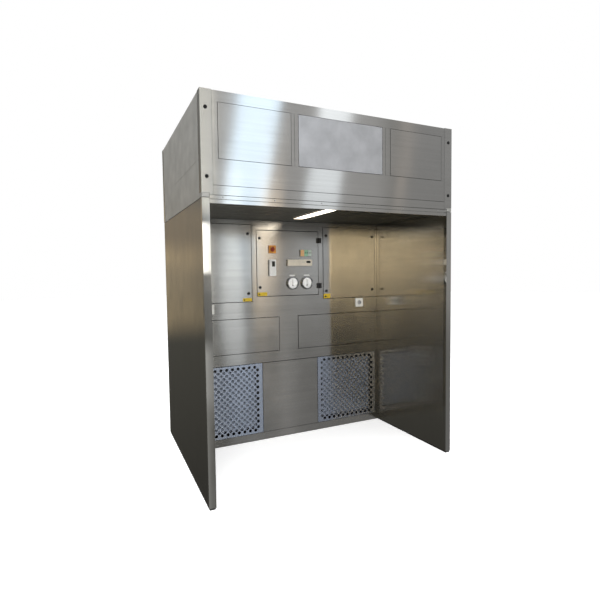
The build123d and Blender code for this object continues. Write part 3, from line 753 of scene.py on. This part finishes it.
def soft_box(tree, azimuth, elevation, az, el, colour, total, lean=0.0):
    """Add a soft-edged patch to the light so far. az and el are (from, to, blur) in degrees."""
    inside = None
    if lean:
        azimuth = math(tree, "MULTIPLY_ADD", elevation, -lean, azimuth)
    for value, (low, high, blur) in ((azimuth, az), (elevation, el)):
        rise = ramp(tree, value, radians(low - blur), radians(low + blur))
        fall = ramp(tree, value, radians(high - blur), radians(high + blur))
        part = math(tree, "SUBTRACT", rise, fall)
        inside = part if inside is None else math(tree, "MULTIPLY", inside, part)
    made = tree.nodes.new("ShaderNodeVectorMath")
    made.operation = "MULTIPLY_ADD"
    tree.links.new(inside, made.inputs[0])
    made.inputs[1].default_value = colour
    tree.links.new(total, made.inputs[2])
    return made.outputs[0]


def surroundings():
    """Soft studio around the booth, as seen in its steel."""
    world = bpy.data.worlds.new("studio")
    bpy.context.scene.world = world
    world.use_nodes = True
    tree = world.node_tree
    toward = coordinates(tree, "Generated")
    forward = math(tree, "MULTIPLY", toward["Y"], -1.0)
    azimuth = math(tree, "ARCTAN2", toward["X"], forward)
    elevation = math(tree, "ARCSINE", toward["Z"])
    scale = node(tree, "ShaderNodeValToRGB")
    while len(scale.color_ramp.elements) < len(SKY):
        scale.color_ramp.elements.new(0.5)
    for element, (angle, colour) in zip(scale.color_ramp.elements, SKY):
        element.position = (angle + 90) / 180
        element.color = (*colour, 1)
    height = math(tree, "MULTIPLY_ADD", elevation, 1 / pi, 0.5)
    tree.links.new(height, scale.inputs[0])
    total = scale.outputs[0]
    for az, el, colour, lean in PATCHES:
        total = soft_box(tree, azimuth, elevation, az, el, colour, total, lean)
    back = tree.nodes["Background"]
    tree.links.new(total, back.inputs["Color"])
    back.inputs["Strength"].default_value = 1.0


def scenery(name, bm, look, base, glow):
    """Matt piece round the booth with a glow of its own, which doesn't show in the steel."""
    mesh = bpy.data.meshes.new(name)
    bm.to_mesh(mesh)
    bm.free()
    made, _, shader = new_material(look)
    shader.inputs["Base Color"].default_value = (base, base, base, 1)
    shader.inputs["Roughness"].default_value = 0.95
    shader.inputs["Specular IOR Level"].default_value = 0.0
    shader.inputs["Emission Color"].default_value = (1, 1, 1, 1)
    shader.inputs["Emission Strength"].default_value = glow
    mesh.materials.append(made)
    piece = bpy.data.objects.new(name, mesh)
    bpy.context.scene.collection.objects.link(piece)
    piece.visible_glossy = False
    piece.visible_diffuse = False
    return piece


def backdrop():
    """Plain white dome round the whole scene, seen by the camera only."""
    bm = bmesh.new()
    bmesh.ops.create_icosphere(bm, subdivisions=4, radius=30.0)
    dome = scenery("backdrop", bm, "backdrop_white", 0.0, 1.0)
    dome.visible_transmission = False
    dome.visible_shadow = False


def floor():
    """Plain pale floor."""
    bm = bmesh.new()
    bmesh.ops.create_circle(bm, cap_ends=True, segments=96, radius=29.0)
    scenery("floor", bm, "pale_floor", 0.9, 0.45)


def softbox(name, at, aim, size, power):
    """Large soft area light that doesn't show in the steel."""
    data = bpy.data.lights.new(name, "AREA")
    data.shape = "RECTANGLE"
    data.size = size[0]
    data.size_y = size[1]
    data.energy = power
    made = bpy.data.objects.new(name, data)
    made.location = at
    made.rotation_euler = (Vector(aim) - Vector(at)).to_track_quat("-Z", "Y").to_euler()
    made.visible_glossy = False
    bpy.context.scene.collection.objects.link(made)


def camera():
    """Eye-level camera to the left of the open front."""
    data = bpy.data.cameras.new("camera")
    data.sensor_width = 36.0
    data.lens = CAMERA_LENS
    data.shift_x, data.shift_y = CAMERA_SHIFT
    made = bpy.data.objects.new("camera", data)
    turn = Matrix.Rotation(-CAMERA_YAW, 4, "Z") @ Matrix.Rotation(pi / 2 + CAMERA_PITCH, 4, "X")
    turn = turn @ Matrix.Rotation(CAMERA_ROLL, 4, "Z")
    made.matrix_world = Matrix.Translation(CAMERA_AT) @ turn
    bpy.context.scene.collection.objects.link(made)
    bpy.context.scene.camera = made


camera()
dress_nodes()
gauge_details()
warning_labels()
control_details()
surroundings()
backdrop()
floor()
for box in SOFTBOXES:
    softbox(*box)
bpy.context.scene.view_settings.view_transform = "Standard"
